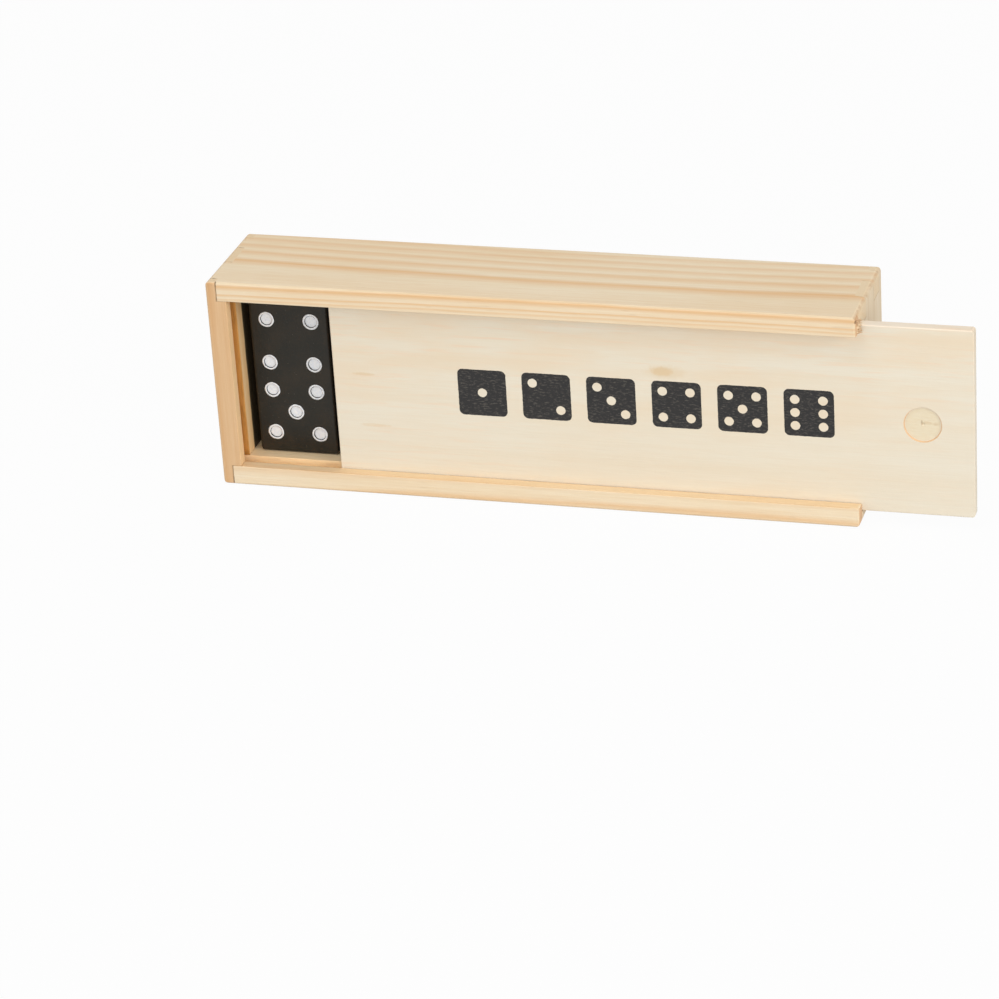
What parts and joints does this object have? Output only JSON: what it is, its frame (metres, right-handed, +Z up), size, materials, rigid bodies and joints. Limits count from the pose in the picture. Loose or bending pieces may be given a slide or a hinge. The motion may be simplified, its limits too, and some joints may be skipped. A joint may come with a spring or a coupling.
{
  "type": "domino storage box",
  "caption": "Long wooden box with finger-jointed corners and a grooved sliding lid with a thumb recess, partly open on upright domino tiles.",
  "frame": {"origin": "centre of the long side that the box stands on", "axes": "+X along the box towards the end where the lid slides out, +Y from the lid to the back panel, +Z up across the width of the lid"},
  "size_m": [0.2074, 0.035, 0.06],
  "materials": {
    "pine": "sanded, bare",
    "plywood": "sanded, bare",
    "lid_wood": "sanded, bare",
    "black_paint": "satin black paint on wood",
    "white_paint": "satin white paint in the pips",
    "black_ink": "matt printing ink on the lid"
  },
  "bodies": {
    "box": {"side_rail_top": "pine", "side_rail_bottom": "pine", "end_board_closed": "pine", "end_board_open": "pine", "back_panel": "plywood"},
    "lid": {"sliding_lid": "lid_wood"},
    "tile_0_5": {"tile_0_5": "black_paint"},
    "tile_1_3": {"tile_1_3": "black_paint"},
    "tile_2_6": {"tile_2_6": "black_paint"},
    "tile_4_5": {"tile_4_5": "black_paint"},
    "covered_row": {"tile_2_2": "black_paint", "tile_1_4": "black_paint", "tile_3_5": "black_paint", "tile_0_1": "black_paint", "tile_2_4": "black_paint", "tile_1_1": "black_paint", "tile_0_3": "black_paint", "tile_2_5": "black_paint", "tile_3_3": "black_paint", "tile_1_5": "black_paint", "tile_2_3": "black_paint", "tile_4_4": "black_paint"}
  },
  "joints": [
    {"name": "lid_slide", "type": "slide", "parent": "box", "child": "lid", "axis": [1, 0, 0], "range_m": [-0.03, 0.15]},
    {"name": "tile_0_5_out", "type": "slide", "parent": "box", "child": "tile_0_5", "axis": [0, -1, 0], "range_m": [0, 0.039]},
    {"name": "tile_1_3_out", "type": "slide", "parent": "tile_0_5", "child": "tile_1_3", "axis": [0, -1, 0], "range_m": [0, 0.0334]},
    {"name": "tile_2_6_out", "type": "slide", "parent": "tile_1_3", "child": "tile_2_6", "axis": [0, -1, 0], "range_m": [0, 0.0278]},
    {"name": "tile_4_5_out", "type": "slide", "parent": "tile_2_6", "child": "tile_4_5", "axis": [0, -1, 0], "range_m": [0, 0.0223]},
    {"name": "covered_row_slide", "type": "slide", "parent": "box", "child": "covered_row", "axis": [-1, 0, 0], "range_m": [-0.0735, 0]}
  ]
}
